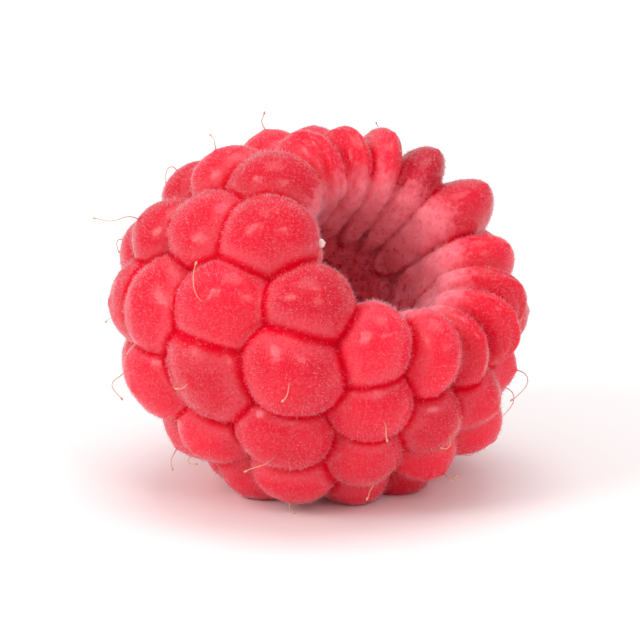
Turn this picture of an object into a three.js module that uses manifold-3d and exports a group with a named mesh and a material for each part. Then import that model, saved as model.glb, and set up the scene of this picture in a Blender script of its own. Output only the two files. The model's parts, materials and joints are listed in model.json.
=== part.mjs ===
// A ripe red raspberry, picked, so that the core has stayed on the plant and the berry is an open cup.
// It lies on its side, with its mouth turned up and towards -Y. Millimetres, +Z up, origin under its middle.
// The berry grew as one piece: rows of drupelets, joined at their sides and roots round the hollow.
import * as THREE from "three";
import { mergeVertices } from "three/addons/utils/BufferGeometryUtils.js";
import Module from "manifold-3d";

// Driving dimensions of the whole berry, before it sags
const BERRY_WIDTH = 21.5;
const BERRY_LENGTH = 17.8;
const RIM_RADIUS = 6.1; // from the berry's axis to the middle of a rim drupelet
const RIM_DRUPELETS = 14;
const DRUPELET_PITCH = 3.75; // from one drupelet's middle to the next in its row
const ROW_STEP = 3.0; // from one row to the next
const ROW_CROWDING_LIMIT = 0.2; // how far a row's spacing may leave the pitch before its count changes

// A drupelet: a dome outwards, and a long root inwards, down to the hollow
const DOME_HEIGHT = 2.15;
const ROOT_LENGTH = 5.2;
const RIM_DOME_HEIGHT = 2.7;
const RIM_HALF_DEPTH = 2.75; // across the wall, from the hollow to the outside
const RIM_LEAN = 20; // degrees that a rim drupelet turns up past the outer surface
const CROWDING = 0.67; // a drupelet's half width as a share of its spacing, over 0.5 as neighbours merge
const BROADEST = 4.5; // no drupelet is spaced wider than this

// The drupelets are broad on one side of the mouth, and narrow where the rim turns away from it
const BROAD_SIDE = 177; // degrees round the axis
const BROAD_SIDE_STRETCH = 0.25;
const NARROW_PAIR_STRETCH = 0.3;
const STRETCH_FADE = 0.65; // how much of the stretch each row passes to the next

// How unlike each other the drupelets are, as shares of the pitch or of the size
const SEED = 3.7;
const PLACE_SCATTER = 0.1;
const RIM_PLACE_SCATTER = 0.05;
const SIZE_SCATTER = 0.08;

// The hollow that the core leaves, a blunt cone that opens out between the rim drupelets
const THROAT_RADIUS = 3.9;
const THROAT_DEPTH = 5.4; // from the highest rim drupelet down to where the cone starts
const HOLLOW_END_RADIUS = 2.5;
const HOLLOW_END_FLAT_RADIUS = 1.5;
const HOLLOW_END_ROUNDING = 1.6;
const HOLLOW_DEPTH = 12.6;
const ROOT_RELIEF = 0.35; // how far the drupelets' root ends stand into the hollow

// The wall that fills the gaps where three drupelets meet
const WALL_REACH = 0.65; // out from the drupelets' middles
const WALL_RIM_WIDTH = 1.0;
const WALL_RIM_DROP = 0.6;
const WALL_FUNNEL_DROP = 3.5;

// How it lies
const MOUTH_ELEVATION = 46; // degrees above the horizontal
const SAG = 0.93; // how much of its height the soft berry keeps under its own weight
const FOOT_PRESS = 0.3; // how much of the lowest drupelets is pressed flat by what it lies on

const DOME_SEGMENTS = 10;
const DOME_STEPS = 3; // from a drupelet's middle to its top
const ROOT_STEPS = 2;
const WALL_SEGMENTS = 28;
const WALL_STEPS = 12;
const CLEAR = 5; // how far a cutting solid runs past the berry

const radians = THREE.MathUtils.degToRad;
const fullTurn = 2 * Math.PI;
const wasm = await Module();
wasm.setup();

// From the berry's own frame, with its axis +Z from the tip to the mouth, to how it lies.
const lying = new THREE.Matrix4()
  .makeScale(1, 1, SAG)
  .multiply(new THREE.Matrix4().makeRotationX(radians(90 - MOUTH_ELEVATION)));

// A number from -1 to 1 that looks random but is always the same for one drupelet and one purpose.
function scatter(index, purpose) {
  const wave = Math.sin(index * 12.9898 + purpose * 78.233 + SEED) * 43758.5453;
  return 2 * (wave - Math.floor(wave)) - 1;
}

// The middles of the drupelets lie on an egg, whose half sizes leave room for the domes.
const eggHalfWidth = BERRY_WIDTH / 2 - DOME_HEIGHT;
const rimAngle = Math.PI - Math.asin(RIM_RADIUS / eggHalfWidth);
const eggHalfLength = (BERRY_LENGTH - DOME_HEIGHT - RIM_DOME_HEIGHT) / (1 - Math.cos(rimAngle));

// A point on the egg, at an angle from the tip towards the mouth.
function eggPoint(angle) {
  return {
    radius: eggHalfWidth * Math.sin(angle),
    height: DOME_HEIGHT + eggHalfLength * (1 - Math.cos(angle)),
    outward: Math.atan2(-Math.cos(angle) / eggHalfLength, Math.sin(angle) / eggHalfWidth),
  };
}

// How many drupelets fit a row: as many as in the row above it, unless they would be too tight or too loose.
function rowCount(countAbove, radius) {
  const crowding = (countAbove * DRUPELET_PITCH) / (fullTurn * radius);
  if (Math.abs(crowding - 1) < ROW_CROWDING_LIMIT) {
    return countAbove;
  }
  return Math.max(1, Math.round((fullTurn * radius) / DRUPELET_PITCH));
}

// Where each drupelet sits: rows from the rim down to the tip, each turned half a step from the one above.
function drupeletSeats() {
  const seats = [];
  let angle = rimAngle;
  let count = RIM_DRUPELETS;
  for (let row = 0; angle > 0; row += 1) {
    const rim = row === 0;
    const { radius, height, outward } = eggPoint(angle);
    count = rim ? count : rowCount(count, radius);
    const fade = STRETCH_FADE ** row;
    const placeScatter = rim ? RIM_PLACE_SCATTER : PLACE_SCATTER;
    for (let place = 0; place < count; place += 1) {
      const index = seats.length;
      const halfStep = row % 2 ? 0 : 0.5;
      const turn = (fullTurn * (place + halfStep + placeScatter * scatter(index, 1))) / count;
      const shift = BROAD_SIDE_STRETCH * Math.sin(turn) + 0.5 * NARROW_PAIR_STRETCH * Math.sin(2 * turn);
      const stretch = BROAD_SIDE_STRETCH * Math.cos(turn) + NARROW_PAIR_STRETCH * Math.cos(2 * turn);
      seats.push({
        rim,
        around: radians(BROAD_SIDE) + turn + fade * shift,
        radius,
        height: height + placeScatter * DRUPELET_PITCH * scatter(index, 2),
        outward: outward + (rim ? radians(RIM_LEAN) : 0),
        size: 1 + SIZE_SCATTER * scatter(index, 3),
        stretch: 1 + fade * stretch,
        spacing: (fullTurn * radius * (1 + fade * stretch)) / count,
      });
    }
    angle -= ROW_STEP / Math.hypot(eggHalfWidth * Math.cos(angle), eggHalfLength * Math.sin(angle));
  }
  return seats;
}

// A closed geometry, turned to how the berry lies, as a solid that can be joined and cut.
function solidFrom(geometry) {
  const bare = new THREE.BufferGeometry();
  bare.setAttribute("position", geometry.getAttribute("position"));
  bare.setIndex(geometry.getIndex());
  const merged = mergeVertices(bare, 1e-4).applyMatrix4(lying);
  const corners = merged.getIndex().array;
  const triangles = [];
  for (let i = 0; i < corners.length; i += 3) {
    const [a, b, c] = corners.slice(i, i + 3);
    if (a !== b && b !== c && c !== a) {
      triangles.push(a, b, c); // a pole's flat triangles are dropped
    }
  }
  return new wasm.Manifold(
    new wasm.Mesh({
      numProp: 3,
      vertProperties: merged.getAttribute("position").array,
      triVerts: new Uint32Array(triangles),
    }),
  );
}

function turned(profile, segments) {
  return new THREE.LatheGeometry(
    profile.map(([x, y]) => new THREE.Vector2(x, y)),
    segments,
  );
}

// One drupelet where it sits.
function drupelet(seat) {
  const height = (seat.rim ? RIM_DOME_HEIGHT : DOME_HEIGHT) * seat.size;
  const across = CROWDING * Math.min(seat.spacing, BROADEST) * seat.size;
  const along = (seat.rim ? RIM_HALF_DEPTH : CROWDING * DRUPELET_PITCH * Math.sqrt(seat.stretch)) * seat.size;
  const profile = [[0, -ROOT_LENGTH]];
  for (let step = 1 - ROOT_STEPS; step < DOME_STEPS; step += 1) {
    const latitude = (Math.PI / 2) * (step / (step < 0 ? ROOT_STEPS : DOME_STEPS));
    profile.push([Math.cos(latitude), Math.sin(latitude) * (step < 0 ? ROOT_LENGTH : height)]);
  }
  profile.push([0, height]);
  return solidFrom(
    turned(profile, DOME_SEGMENTS)
      .scale(across, 1, along)
      .rotateZ(-Math.PI / 2)
      .rotateY(-seat.outward)
      .translate(seat.radius, 0, seat.height)
      .rotateZ(seat.around),
  );
}

// The wall behind the drupelets, as a full egg whose top is a funnel below the rim drupelets.
function wall() {
  const profile = [[0, DOME_HEIGHT - WALL_REACH]];
  for (let step = 1; step <= WALL_STEPS; step += 1) {
    const { radius, height, outward } = eggPoint((rimAngle * step) / WALL_STEPS);
    profile.push([radius + WALL_REACH * Math.cos(outward), height + WALL_REACH * Math.sin(outward)]);
  }
  const [rimX, rimY] = profile.at(-1);
  profile.push([rimX - WALL_RIM_WIDTH, rimY - WALL_RIM_DROP], [0, rimY - WALL_FUNNEL_DROP]);
  return solidFrom(turned(profile, WALL_SEGMENTS).rotateX(Math.PI / 2));
}

// The hollow, larger by a margin all round, and open upwards past the rim.
function hollow(margin) {
  const end = BERRY_LENGTH - HOLLOW_DEPTH - margin;
  const profile = [
    [0, end],
    [HOLLOW_END_FLAT_RADIUS + margin, end + ROOT_RELIEF],
    [HOLLOW_END_RADIUS + margin, end + HOLLOW_END_ROUNDING],
    [THROAT_RADIUS + margin, BERRY_LENGTH - THROAT_DEPTH],
    [THROAT_RADIUS + margin, BERRY_LENGTH + CLEAR],
    [0, BERRY_LENGTH + CLEAR],
  ];
  return solidFrom(turned(profile, WALL_SEGMENTS).rotateX(Math.PI / 2));
}

// What the lowest drupelets are pressed flat against, in the frame that the berry lies in.
function ground(top) {
  const side = 2 * BERRY_WIDTH;
  const slab = new THREE.BoxGeometry(side, side, CLEAR).translate(0, 0, top - CLEAR / 2);
  return solidFrom(slab.applyMatrix4(lying.clone().invert()));
}

function meshGeometry(solid) {
  const { vertProperties, triVerts } = solid.getMesh();
  const geometry = new THREE.BufferGeometry();
  geometry.setAttribute("position", new THREE.BufferAttribute(vertProperties, 3));
  geometry.setIndex(new THREE.BufferAttribute(triVerts, 1));
  geometry.computeVertexNormals();
  return geometry;
}

const cup = wall().subtract(hollow(ROOT_RELIEF));
const whole = wasm.Manifold.union([cup, ...drupeletSeats().map(drupelet)]).subtract(hollow(0));
const { min, max } = whole.boundingBox();
const groundHeight = min[2] + FOOT_PRESS;
const berry = whole.subtract(ground(groundHeight));

const skin = new THREE.MeshStandardMaterial({ color: 0xe23a4a, roughness: 0.42, metalness: 0 });
const raspberry = new THREE.Mesh(meshGeometry(berry), skin);
raspberry.name = "raspberry";
raspberry.position.set(-(min[0] + max[0]) / 2, -(min[1] + max[1]) / 2, -groundHeight);

const part = new THREE.Group();
part.add(raspberry);

export default part;
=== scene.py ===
import json
import math

import bpy
import numpy as np
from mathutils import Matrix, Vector, noise

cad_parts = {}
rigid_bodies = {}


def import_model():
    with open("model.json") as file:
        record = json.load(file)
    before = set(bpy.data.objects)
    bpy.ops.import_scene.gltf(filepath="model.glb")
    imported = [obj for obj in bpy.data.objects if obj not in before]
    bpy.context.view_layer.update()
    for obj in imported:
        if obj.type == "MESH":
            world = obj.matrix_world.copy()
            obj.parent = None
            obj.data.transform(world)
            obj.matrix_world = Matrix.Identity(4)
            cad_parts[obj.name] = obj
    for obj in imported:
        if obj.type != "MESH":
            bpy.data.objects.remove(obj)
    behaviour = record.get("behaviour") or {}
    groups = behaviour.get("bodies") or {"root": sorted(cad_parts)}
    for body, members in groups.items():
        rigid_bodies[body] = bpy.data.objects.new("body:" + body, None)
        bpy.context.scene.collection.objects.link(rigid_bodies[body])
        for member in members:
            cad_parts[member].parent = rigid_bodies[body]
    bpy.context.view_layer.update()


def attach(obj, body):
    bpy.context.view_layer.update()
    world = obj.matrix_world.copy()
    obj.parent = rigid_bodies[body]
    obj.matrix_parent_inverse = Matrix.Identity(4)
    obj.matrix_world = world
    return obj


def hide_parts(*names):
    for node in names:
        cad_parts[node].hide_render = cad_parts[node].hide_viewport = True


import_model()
print("frame loaded")

millimetre = 0.001
fullTurn = 2 * math.pi

# The whole berry, in millimetres and degrees. Its own frame has +Z from the tip to the mouth.
berry = {
    "width": 21.5,
    "length": 17.8,
    "rimRadius": 6.1,
    "rimDrupelets": 14,
    "pitch": 3.75,
    "rowStep": 3.0,
    "rowCrowdingLimit": 0.2,
    "domeHeight": 2.15,
    "rimDomeHeight": 2.7,
    "rimHalfDepth": 2.75,
    "rimLean": 20,
    "crowding": 0.67,
    "broadest": 4.5,
    "broadSide": 177,
    "broadSideStretch": 0.25,
    "narrowPairStretch": 0.3,
    "stretchFade": 0.65,
    "seed": 3.7,
    "placeScatter": 0.1,
    "rimPlaceScatter": 0.05,
    "sizeScatter": 0.08,
    "mouthElevation": 46,
    "sag": 0.93,
    "place": (0.0282, 6.9235, 2.3539),  # of the berry's own origin, once it lies down
    "footSoftness": 0.05,  # how gently the pressed drupelets curve into their feet, millimetres
}

# The hollow that the core left, as radius and height along the berry's axis
hollow = {
    "profile": ((0, 5.2), (1.5, 5.55), (2.5, 6.8), (3.9, 12.4), (3.9, 22.8)),
    "bulge": 0.16,  # how far a root end swells into it
}


def sweepScatter(index, purpose):
    wave = math.sin(index * 12.9898 + purpose * 78.233 + berry["seed"]) * 43758.5453
    return 2 * (wave - math.floor(wave)) - 1


eggHalfWidth = berry["width"] / 2 - berry["domeHeight"]
rimAngle = math.pi - math.asin(berry["rimRadius"] / eggHalfWidth)
eggHalfLength = (berry["length"] - berry["domeHeight"] - berry["rimDomeHeight"]) / (1 - math.cos(rimAngle))


# The drupelets' middles lie on an egg, at an angle from its tip towards the mouth
def eggPoint(angle):
    radius = eggHalfWidth * math.sin(angle)
    height = berry["domeHeight"] + eggHalfLength * (1 - math.cos(angle))
    outward = math.atan2(-math.cos(angle) / eggHalfLength, math.sin(angle) / eggHalfWidth)
    return radius, height, outward


def rowCount(countAbove, radius):
    crowding = countAbove * berry["pitch"] / (fullTurn * radius)
    if abs(crowding - 1) < berry["rowCrowdingLimit"]:
        return countAbove
    return max(1, math.floor(fullTurn * radius / berry["pitch"] + 0.5))


def drupeletSeats():
    seats = []
    angle = rimAngle
    count = berry["rimDrupelets"]
    row = 0
    while angle > 0:
        rim = row == 0
        radius, height, outward = eggPoint(angle)
        count = count if rim else rowCount(count, radius)
        fade = berry["stretchFade"] ** row
        placeScatter = berry["rimPlaceScatter"] if rim else berry["placeScatter"]
        broad = berry["broadSideStretch"]
        narrow = berry["narrowPairStretch"]
        for place in range(count):
            index = len(seats)
            halfStep = 0 if row % 2 else 0.5
            turn = fullTurn * (place + halfStep + placeScatter * sweepScatter(index, 1)) / count
            shift = broad * math.sin(turn) + 0.5 * narrow * math.sin(2 * turn)
            stretch = 1 + fade * (broad * math.cos(turn) + narrow * math.cos(2 * turn))
            size = 1 + berry["sizeScatter"] * sweepScatter(index, 3)
            spacing = fullTurn * radius * stretch / count
            along = berry["rimHalfDepth"] if rim else berry["crowding"] * berry["pitch"] * math.sqrt(stretch)
            around = math.radians(berry["broadSide"]) + turn + fade * shift
            lean = outward + (math.radians(berry["rimLean"]) if rim else 0)
            middle = height + placeScatter * berry["pitch"] * sweepScatter(index, 2)
            cosAround, sinAround = math.cos(around), math.sin(around)
            seats.append({
                "row": row,
                "middle": np.array((radius * cosAround, radius * sinAround, middle)),
                # columns: across the row, along the row's slope, and outwards
                "axes": np.array((
                    (-sinAround, -math.sin(lean) * cosAround, math.cos(lean) * cosAround),
                    (cosAround, -math.sin(lean) * sinAround, math.cos(lean) * sinAround),
                    (0, math.cos(lean), math.sin(lean)),
                )),
                "halves": np.array((
                    berry["crowding"] * min(spacing, berry["broadest"]) * size,
                    along * size,
                    (berry["rimDomeHeight"] if rim else berry["domeHeight"]) * size,
                )),
            })
        travel = math.hypot(eggHalfWidth * math.cos(angle), eggHalfLength * math.sin(angle))
        angle -= berry["rowStep"] / travel
        row += 1
    return seats


# From the berry's own frame to where it lies, in millimetres, and back
def layDown(points):
    turn = math.radians(90 - berry["mouthElevation"])
    x, y, z = points[..., 0], points[..., 1], points[..., 2]
    lain = np.stack((
        x,
        y * math.cos(turn) - z * math.sin(turn),
        (y * math.sin(turn) + z * math.cos(turn)) * berry["sag"],
    ), axis=-1)
    return lain + np.array(berry["place"])


def standUp(points):
    turn = math.radians(90 - berry["mouthElevation"])
    x, y, z = np.moveaxis(points - np.array(berry["place"]), -1, 0)
    z = z / berry["sag"]
    return np.stack((
        x,
        y * math.cos(turn) + z * math.sin(turn),
        z * math.cos(turn) - y * math.sin(turn),
    ), axis=-1)


def deselectAll():
    if bpy.context.object and bpy.context.object.mode != "OBJECT":
        bpy.ops.object.mode_set(mode="OBJECT")
    bpy.ops.object.select_all(action="DESELECT")


def selectVertices(piece, chosen):
    bpy.ops.object.mode_set(mode="OBJECT")
    mesh = piece.data
    mesh.polygons.foreach_set("select", np.zeros(len(mesh.polygons), bool))
    mesh.edges.foreach_set("select", np.zeros(len(mesh.edges), bool))
    mesh.vertices.foreach_set("select", np.asarray(chosen, bool))
    bpy.ops.object.mode_set(mode="EDIT")
    bpy.ops.mesh.select_mode(type="VERT")


def vertexPlaces(piece):
    places = np.empty(len(piece.data.vertices) * 3)
    piece.data.vertices.foreach_get("co", places)
    return places.reshape(-1, 3)


def triangleCorners(piece):
    corners = np.empty(len(piece.data.polygons) * 3, int)
    piece.data.polygons.foreach_get("vertices", corners)
    return corners.reshape(-1, 3)


# A mesh of many copies of one shape: places is copies x vertices x 3
def pieceFromCopies(name, places, corners, material):
    copies, size = places.shape[:2]
    allCorners = (corners[None] + (np.arange(copies) * size)[:, None, None]).reshape(-1)
    mesh = bpy.data.meshes.new(name)
    mesh.vertices.add(copies * size)
    mesh.vertices.foreach_set("co", places.reshape(-1))
    faceCount = len(allCorners) // 3
    mesh.loops.add(len(allCorners))
    mesh.loops.foreach_set("vertex_index", allCorners.astype(np.int32))
    mesh.polygons.add(faceCount)
    mesh.polygons.foreach_set("loop_start", np.arange(faceCount, dtype=np.int32) * 3)
    mesh.polygons.foreach_set("use_smooth", np.ones(faceCount, bool))
    mesh.update(calc_edges=True)
    mesh.validate()
    mesh.materials.append(material)
    piece = bpy.data.objects.new(name, mesh)
    bpy.context.scene.collection.objects.link(piece)
    return piece


def addPointValues(piece, name, values):
    attribute = piece.data.attributes.new(name, "FLOAT", "POINT")
    attribute.data.foreach_set("value", np.asarray(values, np.float32).reshape(-1))


def linearColour(hexColour):
    channels = [int(hexColour[i:i + 2], 16) / 255 for i in (1, 3, 5)]
    return [c / 12.92 if c <= 0.04045 else ((c + 0.055) / 1.055) ** 2.4 for c in channels] + [1]


def addNode(tree, kind, settings=None, inputs=None):
    node = tree.nodes.new(kind)
    for key, value in (settings or {}).items():
        setattr(node, key, value)
    for key, value in (inputs or {}).items():
        if isinstance(value, bpy.types.NodeSocket):
            tree.links.new(value, node.inputs[key])
        else:
            node.inputs[key].default_value = value
    return node


def startMaterial(name):
    material = bpy.data.materials.new(name)
    material.use_nodes = True
    return material, material.node_tree, material.node_tree.nodes["Principled BSDF"]


# Patterns are scaled from the size of their marks
def marksPerMetre(sizeInMillimetres):
    return 1 / (sizeInMillimetres * millimetre)


skin = {
    "ripe": "#EC143A",
    "deep": "#D2032A",
    "overripe": "#B40728",
    # The seam colour below is painted shade and glow, not a colour of the skin itself.
    "creaseShade": "#DE0021",
    # This pale colour serves both the skin's own pale speckles and the painted sheen beside the seams.
    "bloomAndSheen": "#F37A88",
    "bloomAndSheenShare": 0.32,
    "seamSheenShare": 0.3,  # how much pale painted sheen is added beside the seams, over the pale speckles
    "ripening": (0.55, 1.45),  # from ripe to deep, as tone and blotches together
    "overripening": (1.6, 2.3),
    "bloomAndSheenRange": (0.45, 0.85),
    "inside": "#F58592",
    "insideDark": "#BE0A30",
    "insideDarkening": (0.58, 0.88),
    "deepShade": 0.55,  # painted shade: how much darker the end of the hollow is painted than its mouth
    "insideRaggedness": 1.8,  # how uneven the border is between the skin and the inside
    "insideBorder": (1.15, 1.9),
    "roughness": (0.19, 0.28),
    "insideRoughness": 0.75,
    "wax": 0.42,
    "waxColour": "#FF9EAA",
    "shine": 0.34,
    "creaseShine": 0.04,
    "blotchSize": 2.6,
    "bloomSize": 0.16,
    "mottleSize": 0.4,
    "grainSize": 0.22,
    "grainDepth": 0.012,
    "dimpleSize": 0.9,
    "dimpleDepth": 0.07,
    "glow": (1.25, 0.3, 0.26),  # how far light travels in the flesh, millimetres
}


# Ripe raspberry skin: thin, waxy and translucent over juicy flesh. It gives soft pinkish highlights,
# glows red where it is thin, and is matt and downy on the side of the hollow.
def raspberrySkin():
    material, tree, surface = startMaterial("raspberry_skin")
    place = addNode(tree, "ShaderNodeTexCoord").outputs["Object"]
    tone, creaseShade, seamSheen, inside, depth = (
        addNode(tree, "ShaderNodeAttribute", {"attribute_name": name}).outputs["Fac"]
        for name in ("tone", "creaseShade", "seamSheen", "inside", "depth"))
    blotches = addNode(tree, "ShaderNodeTexNoise", inputs={
        "Vector": place, "Scale": marksPerMetre(skin["blotchSize"]), "Detail": 3.0})
    toned = addNode(tree, "ShaderNodeMath", {"operation": "ADD"}, {0: blotches.outputs["Fac"], 1: tone})
    ripeness = addNode(tree, "ShaderNodeMapRange", inputs={
        "Value": toned.outputs[0], "From Min": skin["ripening"][0], "From Max": skin["ripening"][1]})
    outer = addNode(tree, "ShaderNodeMix", {"data_type": "RGBA"}, {
        "Factor": ripeness.outputs[0], "A": linearColour(skin["ripe"]), "B": linearColour(skin["deep"])})
    overripeness = addNode(tree, "ShaderNodeMapRange", inputs={
        "Value": toned.outputs[0], "From Min": skin["overripening"][0], "From Max": skin["overripening"][1]})
    darkened = addNode(tree, "ShaderNodeMix", {"data_type": "RGBA"}, {
        "Factor": overripeness.outputs[0], "A": outer.outputs["Result"], "B": linearColour(skin["overripe"])})
    specks = addNode(tree, "ShaderNodeTexNoise", inputs={
        "Vector": place, "Scale": marksPerMetre(skin["bloomSize"]), "Detail": 3.0, "Roughness": 0.7})
    # Painted sheen: a pale band beside each seam, added to the skin's own pale speckles.
    bloomAndSeamSheen = addNode(tree, "ShaderNodeMath", {"operation": "MULTIPLY_ADD"}, {
        0: seamSheen, 1: skin["seamSheenShare"], 2: specks.outputs["Fac"]})
    bloomAndSheen = addNode(tree, "ShaderNodeMapRange", inputs={
        "Value": bloomAndSeamSheen.outputs[0], "From Min": skin["bloomAndSheenRange"][0], "From Max": skin["bloomAndSheenRange"][1],
        "To Max": skin["bloomAndSheenShare"]})
    withBloomAndSheen = addNode(tree, "ShaderNodeMix", {"data_type": "RGBA"}, {
        "Factor": bloomAndSheen.outputs[0], "A": darkened.outputs["Result"], "B": linearColour(skin["bloomAndSheen"])})
    # Painted shade and glow: the seams are painted a deeper, more saturated red than the drupelets' own
    # colour.
    withCreaseShade = addNode(tree, "ShaderNodeMix", {"data_type": "RGBA"}, {
        "Factor": creaseShade, "A": withBloomAndSheen.outputs["Result"], "B": linearColour(skin["creaseShade"])})
    mottle = addNode(tree, "ShaderNodeTexNoise", inputs={
        "Vector": place, "Scale": marksPerMetre(skin["mottleSize"]), "Detail": 5.0, "Roughness": 0.65})
    # Painted shade: the inside is painted darker towards the end of the hollow, over its own mottling.
    mottleAndDeepShade = addNode(tree, "ShaderNodeMath", {"operation": "MULTIPLY_ADD"}, {
        0: depth, 1: skin["deepShade"], 2: mottle.outputs["Fac"]})
    mottledAndShaded = addNode(tree, "ShaderNodeMapRange", inputs={
        "Value": mottleAndDeepShade.outputs[0], "From Min": skin["insideDarkening"][0],
        "From Max": skin["insideDarkening"][1]})
    inner = addNode(tree, "ShaderNodeMix", {"data_type": "RGBA"}, {
        "Factor": mottledAndShaded.outputs[0], "A": linearColour(skin["inside"]),
        "B": linearColour(skin["insideDark"])})
    patchy = addNode(tree, "ShaderNodeMath", {"operation": "MULTIPLY_ADD"}, {
        0: mottle.outputs["Fac"], 1: skin["insideRaggedness"], 2: inside})
    pale = addNode(tree, "ShaderNodeMapRange", inputs={
        "Value": patchy.outputs[0], "From Min": skin["insideBorder"][0], "From Max": skin["insideBorder"][1]})
    colour = addNode(tree, "ShaderNodeMix", {"data_type": "RGBA"}, {
        "Factor": pale.outputs[0], "A": withCreaseShade.outputs["Result"], "B": inner.outputs["Result"]})
    grain = addNode(tree, "ShaderNodeTexNoise", inputs={
        "Vector": place, "Scale": marksPerMetre(skin["grainSize"]), "Detail": 4.0})
    dimples = addNode(tree, "ShaderNodeTexNoise", inputs={
        "Vector": place, "Scale": marksPerMetre(skin["dimpleSize"]), "Detail": 1.0})
    dimpled = addNode(tree, "ShaderNodeBump", inputs={
        "Height": dimples.outputs["Fac"], "Strength": 1.0, "Distance": skin["dimpleDepth"] * millimetre})
    bump = addNode(tree, "ShaderNodeBump", inputs={
        "Height": grain.outputs["Fac"], "Strength": 0.6, "Distance": skin["grainDepth"] * millimetre,
        "Normal": dimpled.outputs["Normal"]})
    gloss = addNode(tree, "ShaderNodeMapRange", inputs={
        "Value": blotches.outputs["Fac"], "From Min": 0.3, "From Max": 0.7,
        "To Min": skin["roughness"][0], "To Max": skin["roughness"][1]})
    roughness = addNode(tree, "ShaderNodeMix", {"data_type": "FLOAT"}, {
        "Factor": inside, "A": gloss.outputs[0], "B": skin["insideRoughness"]})
    unwaxed = addNode(tree, "ShaderNodeMath", {"operation": "MULTIPLY_ADD"}, {
        0: inside, 1: 0.4, 2: creaseShade})
    waxiness = addNode(tree, "ShaderNodeMapRange", inputs={
        "Value": unwaxed.outputs[0], "From Max": 0.7, "To Min": skin["wax"], "To Max": 0.0})
    shine = addNode(tree, "ShaderNodeMapRange", inputs={
        "Value": unwaxed.outputs[0], "From Max": 0.8, "To Min": skin["shine"], "To Max": skin["creaseShine"]})
    tree.links.new(colour.outputs["Result"], surface.inputs["Base Color"])
    tree.links.new(roughness.outputs["Result"], surface.inputs["Roughness"])
    tree.links.new(shine.outputs[0], surface.inputs["Specular IOR Level"])
    tree.links.new(waxiness.outputs[0], surface.inputs["Sheen Weight"])
    tree.links.new(bump.outputs["Normal"], surface.inputs["Normal"])
    surface.inputs["Subsurface Weight"].default_value = 1.0
    surface.inputs["Subsurface Radius"].default_value = skin["glow"]
    surface.inputs["Subsurface Scale"].default_value = millimetre
    surface.inputs["IOR"].default_value = 1.45
    surface.inputs["Sheen Roughness"].default_value = 0.3
    surface.inputs["Sheen Tint"].default_value = linearColour(skin["waxColour"])
    return material


# Dry pith of the core: a pale cream scrap with no gloss
def palePith():
    material, tree, surface = startMaterial("pale_pith")
    surface.inputs["Base Color"].default_value = linearColour("#F8E4DE")
    surface.inputs["Roughness"].default_value = 0.6
    return material


# Raspberry down: hairs of a clear wax over cellulose, which look pale pink against the skin
def raspberryDown():
    material, tree, surface = startMaterial("raspberry_down")
    surface.inputs["Base Color"].default_value = linearColour("#F67886")
    surface.inputs["Roughness"].default_value = 0.5
    surface.inputs["Subsurface Weight"].default_value = 1.0
    surface.inputs["Subsurface Radius"].default_value = (0.05, 0.05, 0.05)
    surface.inputs["Subsurface Scale"].default_value = millimetre
    return material


# Dried styles: brittle plant threads, golden where thin and reddish brown where they left the berry
def driedStyle():
    material, tree, surface = startMaterial("dried_style")
    share = addNode(tree, "ShaderNodeAttribute", {"attribute_name": "share"}).outputs["Fac"]
    colour = addNode(tree, "ShaderNodeMix", {"data_type": "RGBA"}, {
        "Factor": share, "A": linearColour("#C9584F"), "B": linearColour("#E2AE8A")})
    tree.links.new(colour.outputs["Result"], surface.inputs["Base Color"])
    surface.inputs["Roughness"].default_value = 0.5
    return material


skinMaterial = raspberrySkin()
pithMaterial = palePith()
downMaterial = raspberryDown()
styleMaterial = driedStyle()
print("materials made")

drupelet = {
    "subdivisions": 5,
    "domeShare": 1.35,  # above 1, more of the mesh is on the dome than on the root
    "pinch": 9,  # how tightly a root fills the room between its neighbours
    "corePinch": 18,  # how tightly it fills the room up to the core
    "rooting": (0.3, 2.5),  # where the pressing starts, and how fast it grows from the dome to the root
    "plumpness": (0.95, 0.95, 1.2),
    "rootReach": 7.5,  # far enough for every root to be stopped by the core
    "proudness": 0.3,  # how far some stand out past others, millimetres
    "straying": 0.3,  # how far they leave their row, millimetres
    "spin": 35,  # degrees that a drupelet may turn where it stands
    "swelling": 0.06,  # how unequal they are, as a share of their size
    "gap": 0.01,  # millimetres left at each side of a root
    "farthest": 12,  # millimetres, past which a drupelet isn't stopped by the core
    "nearSteps": 60,  # taken to find where the core stops it, each a share of the way that is clear
    "nearStepShare": 0.98,
    "peakWidth": 0.28,  # the small peak that the style stood on
    "peakHeight": 0.03,
    "lumpSize": 1.3,  # shares of a drupelet
    "lumpHeight": 0.03,
    "lumpWaves": 6,
    "foldDepth": 0.36,  # where the rim is drawn together, the skin lies in folds, millimetres
    "foldWidth": 0.68,
    "foldPlaces": ((84, 36), (308, 28)),  # degrees round the axis: the middle and half the width
}


# One drupelet as a ball with its top drawn up to a small peak; its lower half is drawn out to a root when it
# is pressed
def modelDrupelet():
    deselectAll()
    bpy.ops.mesh.primitive_ico_sphere_add(subdivisions=drupelet["subdivisions"], radius=1)
    piece = bpy.context.object
    places = vertexPlaces(piece)
    selectVertices(piece, places[:, 2] > math.cos(drupelet["peakWidth"] / 2))
    bpy.ops.transform.translate(value=(0, 0, drupelet["peakHeight"]), use_proportional_edit=True,
                                proportional_edit_falloff="SMOOTH", proportional_size=drupelet["peakWidth"])
    bpy.ops.object.mode_set(mode="OBJECT")
    return piece


# The same ball with its corners drawn up towards the dome
def domeHeavy(ball):
    length = np.linalg.norm(ball, axis=1)
    down = np.arccos(np.clip(ball[:, 2] / length, -1, 1))
    moved = math.pi * (down / math.pi) ** drupelet["domeShare"]
    wide = np.maximum(np.hypot(ball[:, 0], ball[:, 1]), 1e-9)
    return np.stack((
        ball[:, 0] / wide * np.sin(moved) * length,
        ball[:, 1] / wide * np.sin(moved) * length,
        np.cos(moved) * length,
    ), axis=1)


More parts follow.
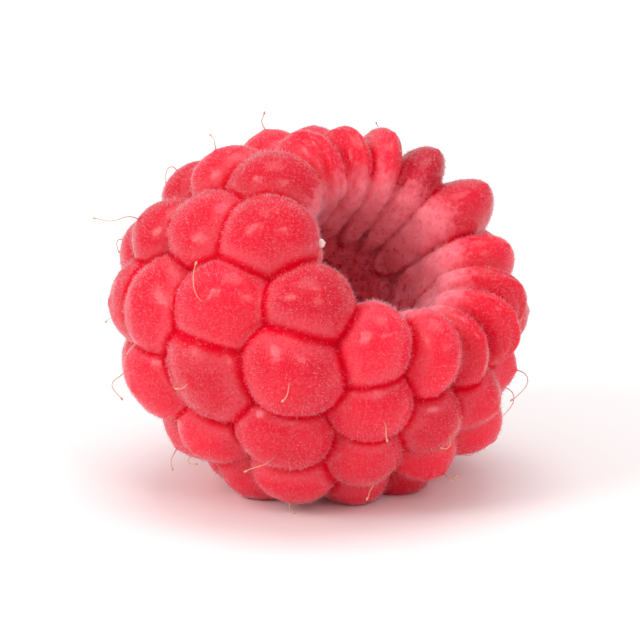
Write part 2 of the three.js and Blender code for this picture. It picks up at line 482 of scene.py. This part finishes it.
def hollowClearance(points):
    radius = np.hypot(points[..., 0], points[..., 1])
    height = points[..., 2]
    corners = np.array(hollow["profile"], float)
    nearest = np.full(radius.shape, np.inf)
    for (startRadius, startHeight), (endRadius, endHeight) in zip(corners[:-1], corners[1:]):
        stepRadius, stepHeight = endRadius - startRadius, endHeight - startHeight
        share = (radius - startRadius) * stepRadius + (height - startHeight) * stepHeight
        share = np.clip(share / (stepRadius ** 2 + stepHeight ** 2), 0, 1)
        gap = np.hypot(radius - startRadius - share * stepRadius, height - startHeight - share * stepHeight)
        nearest = np.minimum(nearest, gap)
    wide = np.interp(height, corners[:, 1], corners[:, 0], left=-1)
    return np.where(radius < wide, -nearest, nearest)


# From 0 at the rim of the hollow to 1 at its end
def hollowDepth(points):
    end, rim = hollow["profile"][0][1], berry["length"] - berry["rimDomeHeight"]
    return np.clip((rim - points[..., 2]) / (rim - end), 0, 1)


def reachOfEllipsoid(seat, directions):
    local = directions @ seat["axes"]
    root = np.where(local[..., 2] < 0, drupelet["rootReach"], seat["halves"][2])
    across, along = (np.full(root.shape, half) for half in seat["halves"][:2])
    halves = np.stack((across, along, root), -1)
    return 1 / np.sqrt(((local / halves) ** 2).sum(-1))


# How far each direction runs from a drupelet's middle before it meets the core
def roomToCore(seat, directions, bulge):
    travelled = np.full(len(directions), 0.2)
    for _ in range(drupelet["nearSteps"]):
        clearance = hollowClearance(seat["middle"] + directions * travelled[:, None]) + bulge
        further = travelled + np.maximum(clearance, 0) * drupelet["nearStepShare"]
        travelled = np.where(travelled < drupelet["farthest"], further, travelled)
    return np.where(travelled < drupelet["farthest"], np.maximum(travelled, 0.05), np.inf)


# A drupelet at its seat, pressed by its neighbours and by the core that filled the hollow
def pressedDrupelet(seats, index, ball, lumps):
    seat = seats[index]
    local = ball * seat["halves"] * drupelet["plumpness"]
    below = ball[:, 2] < 0
    local[below, 2] = ball[below, 2] * drupelet["rootReach"]
    local *= 1 + drupelet["lumpHeight"] * lumps[:, None]
    offsets = local @ seat["axes"].T
    reach = np.linalg.norm(offsets, axis=1)
    directions = offsets / reach[:, None]
    crowd = np.zeros(len(ball))
    for other, neighbour in enumerate(seats):
        if other == index:
            continue
        step = neighbour["middle"] - seat["middle"]
        distance = np.linalg.norm(step)
        towards = step / distance
        mine = reachOfEllipsoid(seat, towards)
        theirs = reachOfEllipsoid(neighbour, -towards)
        seam = distance * mine / (mine + theirs) - drupelet["gap"]
        facing = directions @ towards
        room = np.where(facing > 1e-3, seam / np.maximum(facing, 1e-3), np.inf)
        crowd += (reach / room) ** drupelet["pinch"]
    bulge = hollow["bulge"] * (0.6 + 0.6 * sweepScatter(index, 5))
    start, growth = drupelet["rooting"]
    rooted = np.clip(start - growth * (directions @ seat["axes"][:, 2]), 0, 1)
    pressed = reach * (1 + rooted * crowd) ** (-1 / drupelet["pinch"])
    stopped = (pressed / roomToCore(seat, directions, bulge)) ** drupelet["corePinch"]
    pressed *= (1 + stopped) ** (-1 / drupelet["corePinch"])
    above = np.clip(ball[:, 2] * 3, 0, 1)
    pressed = pressed - foldDepth(seat, index, local) * above
    return seat["middle"] + directions * pressed[:, None]


# Shallow folds along the drupelets of the rim, wandering and of uneven depth
def foldDepth(seat, index, local):
    around = math.degrees(math.atan2(seat["middle"][1], seat["middle"][0])) % 360
    folded = max(1 - ((around - middle) / half) ** 2 for middle, half in drupelet["foldPlaces"])
    if seat["row"] > 0 or folded <= 0:
        return 0
    across = local[:, 0] / drupelet["foldWidth"]
    across += 0.16 * np.sin(local[:, 1] * 1.1 + 2.1 * index) + 0.13 * np.sin(local[:, 0] * 3.1 + 1.7 * index)
    groove = 1 - np.abs(np.sin(math.pi * (across + 0.37 * index)))
    uneven = 0.6 + 0.4 * np.sin(local[:, 0] * 1.9 + local[:, 1] * 0.8 + index)
    return drupelet["foldDepth"] * math.sqrt(folded) * uneven * groove ** 1.5


# Broad soft lumps over a ball, unlike for each index
def lumpsOf(ball, index):
    random = np.random.default_rng(1000 + index)
    lumps = np.zeros(len(ball))
    for _ in range(drupelet["lumpWaves"]):
        direction = random.normal(size=3)
        direction /= np.linalg.norm(direction)
        lumps += np.sin(ball @ direction * fullTurn / drupelet["lumpSize"] + random.uniform(0, fullTurn))
    return lumps / (drupelet["lumpWaves"] / 2)


# Below the rim the drupelets grew less evenly
def loosen(seat, index):
    for axis in (0, 1):
        stray = drupelet["straying"] * sweepScatter(index, 11 + axis)
        seat["middle"] = seat["middle"] + seat["axes"][:, axis] * stray
        seat["halves"][axis] *= 1 + drupelet["swelling"] * sweepScatter(index, 13 + axis)
    spin = math.radians(drupelet["spin"] * sweepScatter(index, 15))
    across, along = seat["axes"][:, 0].copy(), seat["axes"][:, 1].copy()
    seat["axes"][:, 0] = across * math.cos(spin) + along * math.sin(spin)
    seat["axes"][:, 1] = along * math.cos(spin) - across * math.sin(spin)


seats = drupeletSeats()
for index, seat in enumerate(seats):
    seat["middle"] = seat["middle"] + seat["axes"][:, 2] * drupelet["proudness"] * sweepScatter(index, 9)
    if seat["row"] > 0:
        loosen(seat, index)
blank = modelDrupelet()
ball = domeHeavy(vertexPlaces(blank))
topCorner = int(ball[:, 2].argmax())
corners = triangleCorners(blank)
drupelets = [pressedDrupelet(seats, index, ball, lumpsOf(ball, index)) for index in range(len(seats))]
bpy.data.objects.remove(blank)
print("drupelets pressed:", len(drupelets))


# What the berry lies on presses its lowest drupelets flat
def settle(points):
    settled = points.copy()
    height = settled[..., 2]
    settled[..., 2] = 0.5 * (height + np.sqrt(height ** 2 + berry["footSoftness"] ** 2))
    return settled


def smoothStep(low, high, values):
    share = np.clip((values - low) / (high - low), 0, 1)
    return share * share * (3 - 2 * share)


flesh = {
    "reach": 0.68,  # how far it fills the seams, out from the drupelets' middles
    "behindHollow": 0.35,
    "rimWidth": 1.0,
    "rimDrop": 0.6,
    "funnelDrop": 3.5,
    "outlineSteps": 12,
    "steps": 64,
}


# The flesh that joins the drupelets, as a cup turned round the berry's axis
def modelFlesh():
    outline = []
    reach = flesh["reach"]
    for step in range(flesh["outlineSteps"] + 1):
        radius, height, outward = eggPoint(rimAngle * step / flesh["outlineSteps"])
        outline.append((radius + reach * math.cos(outward), height + reach * math.sin(outward)))
    outline[0] = (0, outline[0][1])
    rimRadius, rimHeight = outline[-1]
    throat = hollow["profile"][-1][0] + flesh["behindHollow"]
    lipRadius, lipHeight = rimRadius - flesh["rimWidth"], rimHeight - flesh["rimDrop"]
    outline.append((lipRadius, lipHeight))
    fall = (flesh["funnelDrop"] - flesh["rimDrop"]) * (lipRadius - throat) / lipRadius
    outline.append((throat, lipHeight - fall))
    behind = [(radius + flesh["behindHollow"], height) for radius, height in hollow["profile"][3:0:-1]]
    outline += behind
    outline.append((0, hollow["profile"][0][1] - flesh["behindHollow"]))
    mesh = bpy.data.meshes.new("flesh")
    mesh.from_pydata([(radius, 0, height) for radius, height in outline],
                     [(i, i + 1) for i in range(len(outline) - 1)], [])
    piece = bpy.data.objects.new("flesh", mesh)
    bpy.context.scene.collection.objects.link(piece)
    deselectAll()
    piece.select_set(True)
    bpy.context.view_layer.objects.active = piece
    bpy.ops.object.mode_set(mode="EDIT")
    bpy.ops.mesh.select_all(action="SELECT")
    bpy.ops.mesh.spin(steps=flesh["steps"], angle=fullTurn, center=(0, 0, 0), axis=(0, 0, 1))
    bpy.ops.mesh.select_all(action="SELECT")
    bpy.ops.mesh.remove_doubles(threshold=0.001)
    bpy.ops.mesh.normals_make_consistent(inside=False)
    bpy.ops.mesh.quads_convert_to_tris()
    bpy.ops.object.mode_set(mode="OBJECT")
    bpy.ops.object.shade_smooth()
    piece.data.vertices.foreach_set("co", settle(layDown(vertexPlaces(piece))).reshape(-1))
    piece.data.update()
    return piece


berrySkin = {
    "voxel": 0.075,  # millimetres
    "smoothing": 2,
    "mostTriangles": 194000,
    "tone": (0.5, 0.45),  # the usual one, and how far a drupelet's may leave it
    "overripe": 8,  # one rim drupelet is darker than the rest
    "overripeTone": 1.5,
    "creaseWidth": 0.17,  # shares of a drupelet, like the next two lines
    "creaseUnevenness": 0.5,
    "seamSheen": (0.04, 0.12, 0.4),  # where the painted sheen beside a seam starts, is brightest and ends
    "creaseStrength": 0.95,
    "inside": (0.15, 1.4),  # millimetres from the hollow: where the inside starts to end, and over how far
    "roughReach": 1.2,  # how far the rough side reaches round the rim, millimetres
    "grainHeight": 0.16,  # of the rough side of the hollow, millimetres
    "grainSizes": (1.1, 0.5),
}


# The berry as one skin: the drupelets and the flesh that joins them, grown together
def growTogether():
    places = np.array([settle(layDown(points)) for points in drupelets])
    piece = pieceFromCopies("berry_skin", places, corners, skinMaterial)
    fleshPiece = modelFlesh()
    deselectAll()
    fleshPiece.select_set(True)
    piece.select_set(True)
    bpy.context.view_layer.objects.active = piece
    bpy.ops.object.join()
    remesh = piece.modifiers.new("grown together", "REMESH")
    remesh.mode = "VOXEL"
    remesh.voxel_size = berrySkin["voxel"]
    remesh.use_smooth_shade = True
    bpy.ops.object.modifier_apply(modifier=remesh.name)
    keepOutermost(piece)
    soften = piece.modifiers.new("softened", "SMOOTH")
    soften.factor = 0.5
    soften.iterations = berrySkin["smoothing"]
    bpy.ops.object.modifier_apply(modifier=soften.name)
    thin = piece.modifiers.new("thinned", "DECIMATE")
    thin.ratio = min(1, berrySkin["mostTriangles"] / (2 * len(piece.data.polygons)))
    thin.use_collapse_triangulate = True
    bpy.ops.object.modifier_apply(modifier=thin.name)
    bpy.ops.object.shade_smooth()
    return piece


# Leaves out the closed pockets between the roots
def keepOutermost(piece):
    bpy.ops.object.mode_set(mode="EDIT")
    bpy.ops.mesh.select_all(action="DESELECT")
    bpy.ops.object.mode_set(mode="OBJECT")
    highest = int(vertexPlaces(piece)[:, 2].argmax())
    piece.data.vertices[highest].select = True
    bpy.ops.object.mode_set(mode="EDIT")
    bpy.ops.mesh.select_mode(type="VERT")
    bpy.ops.mesh.select_linked()
    bpy.ops.mesh.select_all(action="INVERT")
    bpy.ops.mesh.delete(type="VERT")
    bpy.ops.object.mode_set(mode="OBJECT")


# How deep in which drupelet each point is: the two lowest levels, 1 at a drupelet's own surface
def drupeletLevels(points):
    nearest = np.full(len(points), np.inf)
    second = np.full(len(points), np.inf)
    owner = np.zeros(len(points), int)
    for index, seat in enumerate(seats):
        local = (points - seat["middle"]) @ seat["axes"]
        halves = seat["halves"] * drupelet["plumpness"]
        upright = np.where(local[:, 2] < 0, drupelet["rootReach"], halves[2])
        across, along, up = local[:, 0] / halves[0], local[:, 1] / halves[1], local[:, 2] / upright
        level = np.sqrt(across ** 2 + along ** 2 + up ** 2)
        closer = level < nearest
        second = np.where(closer, nearest, np.minimum(second, level))
        owner = np.where(closer, index, owner)
        nearest = np.minimum(nearest, level)
    return nearest, second, owner


# The hollow is rough where it was torn off its core
def roughened(piece, places, share):
    normals = np.empty(len(places) * 3)
    piece.data.vertices.foreach_get("normal", normals)
    rise = np.zeros(len(places))
    for size in berrySkin["grainSizes"]:
        rise += size * np.array([noise.noise(place / size) for place in places])
    rise *= berrySkin["grainHeight"] / berrySkin["grainSizes"][0]
    return places + normals.reshape(-1, 3) * (rise * share)[:, None]


skinPiece = growTogether()
skinPlaces = vertexPlaces(skinPiece)
ownPlaces = standUp(skinPlaces)
fromHollow = hollowClearance(ownPlaces)
roughShares = np.clip(1.2 - fromHollow / berrySkin["roughReach"], 0, 1)
skinPlaces = roughened(skinPiece, skinPlaces, roughShares)
nearest, second, owner = drupeletLevels(ownPlaces)
usualTone, toneSpread = berrySkin["tone"]
tones = np.array([toneSpread * sweepScatter(i, 7) + usualTone for i in range(len(seats))])
tones[berrySkin["overripe"]] = berrySkin["overripeTone"]
widths = np.array([1 + berrySkin["creaseUnevenness"] * sweepScatter(i, 21) for i in range(len(seats))])
fromSeam = (second - nearest) / widths[owner]
# Painted shade and glow mask: strongest in each seam; it also thins the sheen, the shine and the hairs there.
creases = berrySkin["creaseStrength"] * (1 - smoothStep(0, berrySkin["creaseWidth"], fromSeam))
edgeStart, edgePeak, edgeEnd = berrySkin["seamSheen"]
# Painted sheen mask: a pale band just beside each seam.
edges = smoothStep(edgeStart, edgePeak, fromSeam) * (1 - smoothStep(edgePeak, edgeEnd, fromSeam))
insideEnd, insideFade = berrySkin["inside"]
insides = np.clip(1 - (fromHollow - insideEnd) / insideFade, 0, 1)
addPointValues(skinPiece, "tone", tones[owner])
addPointValues(skinPiece, "creaseShade", creases)
addPointValues(skinPiece, "seamSheen", edges)
addPointValues(skinPiece, "inside", insides)
addPointValues(skinPiece, "depth", hollowDepth(ownPlaces))
skinPiece.data.vertices.foreach_set("co", (skinPlaces * millimetre).reshape(-1))
skinPiece.data.update()
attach(skinPiece, "root")
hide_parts("raspberry")
print("berry skin", len(skinPiece.data.polygons))

down = {
    "outerHairs": 49500,
    "hollowHairs": 22000,
    "outerLength": (0.09, 0.27),
    "hollowLength": (0.1, 0.3),
    "thickness": 0.019,
    "unlikeness": (0.7, 1.3),  # the thinnest and the thickest hair, as shares of the thickness
    "tilt": 0.48,
    "sunk": 0.03,
    "seamBareness": 0.85,  # how few hairs stand in the seams
    "bareBelow": 0.12,  # nothing grows where the berry stands, millimetres
    "lowest": 0.02,
    "seed": 61,
}


# One hair: a spike on three corners
def modelHair():
    deselectAll()
    bpy.ops.mesh.primitive_cone_add(vertices=3, radius1=0.5, radius2=0, depth=1, location=(0, 0, 0.5))
    piece = bpy.context.object
    bpy.ops.object.transform_apply(location=True)
    bpy.ops.object.mode_set(mode="EDIT")
    bpy.ops.mesh.select_all(action="SELECT")
    bpy.ops.mesh.quads_convert_to_tris()
    bpy.ops.object.mode_set(mode="OBJECT")
    shape = vertexPlaces(piece), triangleCorners(piece)
    bpy.data.objects.remove(piece)
    return shape


def unit(vectors):
    return vectors / np.maximum(np.linalg.norm(vectors, axis=-1, keepdims=True), 1e-12)


skinCorners = triangleCorners(skinPiece)
skinTriangles = skinPlaces[skinCorners]
skinNormals = np.cross(skinTriangles[:, 1] - skinTriangles[:, 0], skinTriangles[:, 2] - skinTriangles[:, 0])
skinAreas = np.linalg.norm(skinNormals, axis=-1)
skinNormals = unit(skinNormals)
skinAreas[skinTriangles[..., 2].mean(-1) < down["bareBelow"]] = 0
creaseShares = creases[skinCorners].mean(-1)
insideShares = insides[skinCorners].mean(-1)


# Hairs spread over the skin by its area and by how much each triangle wants them
def plantedHairs(name, random, count, wanted, lengths):
    chance = skinAreas * wanted
    chosen = random.choice(len(chance), count, p=chance / chance.sum())
    shares = random.dirichlet((1, 1, 1), count)
    feet = (skinTriangles[chosen] * shares[:, :, None]).sum(1)
    lean = unit(skinNormals[chosen] + down["tilt"] * random.normal(size=(count, 3)))
    length = random.uniform(*lengths, count)
    sideways = unit(np.cross(lean, random.normal(size=(count, 3))))
    third = np.cross(lean, sideways)
    width = down["thickness"] * random.uniform(*down["unlikeness"], count)
    hair, hairCorners = hairShape
    places = (feet - lean * down["sunk"])[:, None] \
        + hair[None, :, 0:1] * (width[:, None] * sideways)[:, None] \
        + hair[None, :, 1:2] * (width[:, None] * third)[:, None] \
        + hair[None, :, 2:3] * (length[:, None] * lean)[:, None]
    standing = places[:, :, 2].min(1) > down["lowest"]
    return pieceFromCopies(name, places[standing] * millimetre, hairCorners, downMaterial)


hairShape = modelHair()
random = np.random.default_rng(down["seed"])
outerShares = (1 - down["seamBareness"] * creaseShares) * (1 - insideShares)
outerDown = plantedHairs("outer_down", random, down["outerHairs"], outerShares, down["outerLength"])
hollowDown = plantedHairs("hollow_down", random, down["hollowHairs"], insideShares ** 2,
                          down["hollowLength"])
for piece in (outerDown, hollowDown):
    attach(piece, "root")
    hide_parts("raspberry")
    print(piece.name, len(piece.data.polygons))

styles = {
    "share": 0.72,  # of the drupelets below the rim
    "sides": 5,
    "segments": 9,
    "length": (0.8, 3.2),
    "thickness": 0.05,
    "rootWidth": 0.62,  # shares of the thickness
    "taper": 0.93,  # of each of the first segments
    "taperingSegments": 5,
    "knob": ((0.010, 2.1), (0.022, 1.25), (0.022, 0.72), (0.012, 0.35)),  # rise, and growth in width
    "knobStretch": 3.2,
    "curl": (0.4, 2.6),  # radians from root to end
    "waviness": 0.35,
    "points": 60,  # worked out along each one
    "sunk": 0.05,
    "lowestRoot": 0.6,  # none stands lower than this, or comes nearer to the floor than the next line
    "lowest": 0.05,
    "seed": 17,
}


# One dried style: a thin tapering thread with a small knob at its end, one unit long
def modelStyle():
    deselectAll()
    bpy.ops.mesh.primitive_circle_add(vertices=styles["sides"], radius=styles["rootWidth"],
                                      fill_type="NGON")
    piece = bpy.context.object
    bpy.ops.object.mode_set(mode="EDIT")
    bpy.ops.mesh.select_all(action="SELECT")
    for segment in range(styles["segments"]):
        bpy.ops.mesh.extrude_region_move(TRANSFORM_OT_translate={"value": (0, 0, 1 / styles["segments"])})
        if segment < styles["taperingSegments"]:
            bpy.ops.transform.resize(value=(styles["taper"], styles["taper"], 1))
    for rise, width in styles["knob"]:
        bpy.ops.mesh.extrude_region_move(TRANSFORM_OT_translate={"value": (0, 0, rise)})
        bpy.ops.transform.resize(value=(width, width, 1))
    bpy.ops.mesh.select_all(action="SELECT")
    bpy.ops.mesh.normals_make_consistent(inside=False)
    bpy.ops.mesh.quads_convert_to_tris()
    bpy.ops.object.mode_set(mode="OBJECT")
    shape = vertexPlaces(piece), triangleCorners(piece)
    bpy.data.objects.remove(piece)
    return shape


# Copies of it, each bent along a line of its own from the top of a drupelet
def bentStyles():
    thread, threadCorners = modelStyle()
    random = np.random.default_rng(styles["seed"])
    shortest, longest = styles["length"]
    leastCurl, mostCurl = styles["curl"]
    share = np.linspace(0, 1, styles["points"])
    along = thread[:, 2]
    copies = []
    for index, seat in enumerate(seats):
        chance, length, curl, heading, wobble = random.uniform(size=5)
        if seat["row"] == 0 or chance > styles["share"]:
            continue
        top = layDown(drupelets[index][topCorner])
        outward = unit(layDown(seat["middle"] + seat["axes"][:, 2]) - layDown(seat["middle"]))
        if top[2] < styles["lowestRoot"]:
            continue
        sideways = unit(np.cross(outward, (math.cos(heading * fullTurn), math.sin(heading * fullTurn), 0.3)))
        size = shortest + (longest - shortest) * length ** 1.6
        bend = leastCurl + (mostCurl - leastCurl) * curl
        third = np.cross(outward, sideways)
        angle = 0.25 + bend * share + styles["waviness"] * np.sin(share * 7 + wobble * 6)
        steps = np.cos(angle)[:, None] * outward + np.sin(angle)[:, None] * sideways
        steps += (styles["waviness"] * np.sin(share * 4 + 9 * wobble))[:, None] * third
        steps = unit(steps)
        travelled = np.concatenate((np.zeros((1, 3)), np.cumsum(steps[:-1], 0)))
        line = top + travelled * size / (styles["points"] - 1)
        line -= outward * styles["sunk"]
        at = np.stack([np.interp(along, share, line[:, k]) for k in range(3)], -1)
        tangent = unit(np.stack([np.interp(along, share, steps[:, k]) for k in range(3)], -1))
        at += tangent * (np.maximum(along - 1, 0) * styles["knobStretch"])[:, None]
        normal = unit(np.cross(tangent, third))
        other = np.cross(tangent, normal)
        places = at + styles["thickness"] * (thread[:, 0:1] * normal + thread[:, 1:2] * other)
        if places[:, 2].min() < styles["lowest"]:
            continue
        copies.append(places * millimetre)
    piece = pieceFromCopies("dried_styles", np.array(copies), threadCorners, styleMaterial)
    addPointValues(piece, "share", np.tile(np.clip(along * 1.6, 0, 1), len(copies)))
    return piece


stylesPiece = bentStyles()
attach(stylesPiece, "root")
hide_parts("raspberry")
print("styles", len(stylesPiece.data.polygons))

pith = {
    "around": 169.5,  # where it hangs, degrees round the axis and millimetres out from it and up it
    "radius": 4.38,
    "height": 17.3,
    "halves": (0.3, 0.17, 0.34),
    "lumpiness": 0.26,
}


# A scrap of the core that stayed on the rim when the berry was picked
def pithScrap():
    turn = math.radians(pith["around"])
    wanted = np.array((pith["radius"] * math.cos(turn), pith["radius"] * math.sin(turn), pith["height"]))
    at = ownPlaces[np.linalg.norm(ownPlaces - wanted, axis=1).argmin()]
    deselectAll()
    bpy.ops.mesh.primitive_ico_sphere_add(subdivisions=4, radius=1)
    piece = bpy.context.object
    bpy.ops.object.mode_set(mode="EDIT")
    bpy.ops.mesh.select_all(action="SELECT")
    bpy.ops.transform.resize(value=pith["halves"])
    bpy.ops.object.mode_set(mode="OBJECT")
    bpy.ops.object.shade_smooth()
    places = vertexPlaces(piece)
    places *= 1 + pith["lumpiness"] * lumpsOf(unit(places), 400)[:, None]
    piece.data.vertices.foreach_set("co", (layDown(places + at) * millimetre).reshape(-1))
    piece.data.update()
    piece.data.materials.append(pithMaterial)
    piece.name = "pith_scrap"
    return piece


pithPiece = pithScrap()
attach(pithPiece, "root")
print("pith scrap", len(pithPiece.data.polygons))

studio = {
    "floorSize": 3.0,
    "floorColour": "#FDFDFD",
    "worldBrightness": 0.66,
    # place and width in metres, and radiance
    "softboxes": {
        "key": ((-0.363, 0.064, 0.258), 0.17, 7.6),
        "fill": ((-0.126, -0.346, 0.258), 0.13, 5.6),
        "overhead": ((0.02, 0.02, 0.50), 0.30, 2.7),
    },
    "aim": (0, 0, 0.009),
}


def paleFloor():
    material, tree, surface = startMaterial("matt_white_board")
    surface.inputs["Base Color"].default_value = linearColour(studio["floorColour"])
    surface.inputs["Roughness"].default_value = 0.9
    surface.inputs["Specular IOR Level"].default_value = 0.1
    deselectAll()
    bpy.ops.mesh.primitive_plane_add(size=studio["floorSize"])
    floor = bpy.context.object
    floor.name = "floor"
    floor.data.materials.append(material)


def aimedAt(piece, target):
    direction = Vector(target) - piece.location
    piece.rotation_euler = direction.to_track_quat("-Z", "Y").to_euler()


def softLight(name, place, size, radiance):
    bpy.ops.object.light_add(type="AREA", location=place)
    light = bpy.context.object
    light.name = name
    light.data.size = size
    light.data.energy = radiance * math.pi * size ** 2
    aimedAt(light, studio["aim"])


def studioLight():
    world = bpy.data.worlds.new("studio")
    world.use_nodes = True
    background = world.node_tree.nodes["Background"]
    background.inputs["Color"].default_value = (1, 1, 1, 1)
    background.inputs["Strength"].default_value = studio["worldBrightness"]
    bpy.context.scene.world = world
    for name, (place, size, radiance) in studio["softboxes"].items():
        softLight(name + "_softbox", place, size, radiance)
    bpy.context.scene.view_settings.view_transform = "Standard"


view = {
    "azimuth": -45,
    "elevation": 15,
    "lens": 300,
    "width": 0.0335,  # of what it sees at the berry, metres
    "target": (0, 0, 0.0088),
    "sensor": 36,  # millimetres, the camera's own
}


def addCamera():
    distance = view["width"] * view["lens"] / view["sensor"]
    azimuth, elevation = math.radians(view["azimuth"]), math.radians(view["elevation"])
    level = math.cos(elevation)
    back = Vector((math.sin(azimuth) * level, -math.cos(azimuth) * level, math.sin(elevation)))
    bpy.ops.object.camera_add(location=Vector(view["target"]) + back * distance)
    camera = bpy.context.object
    camera.data.lens = view["lens"]
    camera.data.clip_start = 0.005
    camera.data.clip_end = 20
    aimedAt(camera, view["target"])
    bpy.context.scene.camera = camera


paleFloor()
studioLight()
addCamera()
print("studio ready")
